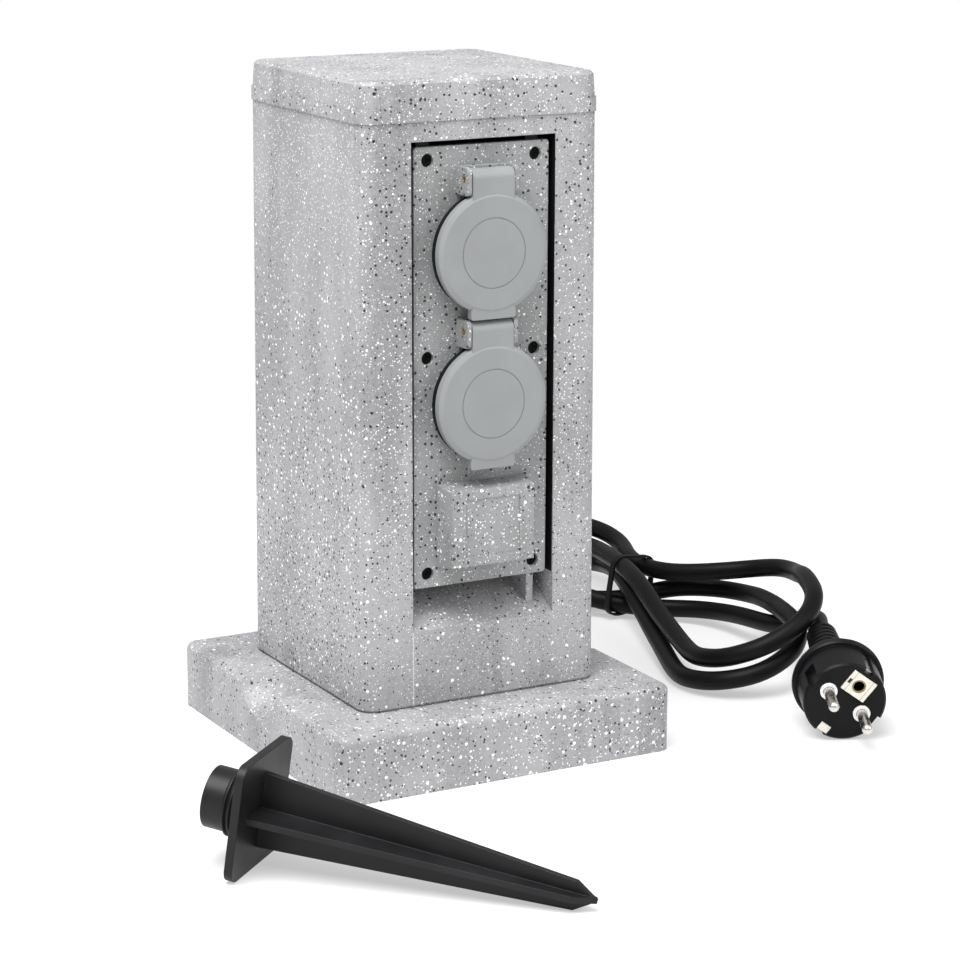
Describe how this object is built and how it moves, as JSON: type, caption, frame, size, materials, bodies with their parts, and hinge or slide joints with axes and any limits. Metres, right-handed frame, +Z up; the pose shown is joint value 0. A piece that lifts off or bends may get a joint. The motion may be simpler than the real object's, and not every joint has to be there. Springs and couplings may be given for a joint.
{
  "type": "garden socket post",
  "caption": "Square garden power pillar on a base plate with sprung socket lids, a blank boss, a plugged mains lead in a tied hank and a loose ground spike.",
  "frame": {"origin": "mouth of the spike socket, at the centre of the base plate's underside", "axes": "+Z up, the socket panel faces -Y, +X to the right of someone who faces the panel"},
  "size_m": [0.3918, 0.4526, 0.3004],
  "materials": {
    "granite_plastic": "speckled stone-look, satin",
    "lid_plastic": "satin",
    "black_rubber": "matt",
    "black_plastic": "satin",
    "brass": "turned",
    "steel": "zinc plated",
    "black_steel": "satin black",
    "nickel": "nickel plated",
    "white_plastic": "gloss",
    "cream_plastic": "satin",
    "brown_wire": "satin",
    "blue_wire": "satin",
    "green_wire": "satin, green and yellow"
  },
  "bodies": {
    "post": {"base_plate": "granite_plastic", "base_screws": "steel", "pillar_shell": "granite_plastic", "top_cap": "granite_plastic", "socket_panel": "granite_plastic", "panel_screws": "black_steel", "panel_seal": "black_rubber", "rear_housing": "black_plastic", "housing_screws": "steel", "upper_socket": "black_plastic", "lower_socket": "black_plastic", "upper_contacts": "brass", "lower_contacts": "brass", "upper_earth_clip": "brass", "lower_earth_clip": "brass", "upper_hinge_pin": "brass", "lower_hinge_pin": "brass", "upper_lid_spring": "steel", "lower_lid_spring": "steel", "live_wire": "brown_wire", "neutral_wire": "blue_wire", "earth_wire": "green_wire", "cable_gland": "black_plastic", "inner_cable": "black_rubber", "cord_sleeve": "black_rubber", "cord_outlet_run": "black_rubber", "cord_hank": "black_rubber", "cord_plug_run": "black_rubber", "cord_tie": "black_plastic", "plug_body": "black_rubber", "plug_sleeve": "black_rubber", "plug_pins": "nickel", "plug_pin_collars": "white_plastic", "plug_earth": "cream_plastic", "plug_earth_strips": "nickel"},
    "upper_lid": {"upper_lid": "lid_plastic", "upper_lid_seal": "black_rubber"},
    "lower_lid": {"lower_lid": "lid_plastic", "lower_lid_seal": "black_rubber"},
    "ground_spike": {"ground_spike": "black_plastic"}
  },
  "joints": [
    {"name": "upper_lid_hinge", "type": "hinge", "parent": "post", "child": "upper_lid", "pos_m": [0, -0.0617, 0.2593], "axis": [-1, 0, 0], "range_deg": [0, 110], "stiffness_Nm_per_rad": 0.02, "springref_deg": -22.92},
    {"name": "lower_lid_hinge", "type": "hinge", "parent": "post", "child": "lower_lid", "pos_m": [0, -0.0617, 0.1946], "axis": [-1, 0, 0], "range_deg": [0, 88], "stiffness_Nm_per_rad": 0.02, "springref_deg": -22.92},
    {"name": "spike_lift", "type": "slide", "parent": "post", "child": "ground_spike", "axis": [0, 0, 1], "range_m": [0, 0.08]}
  ]
}
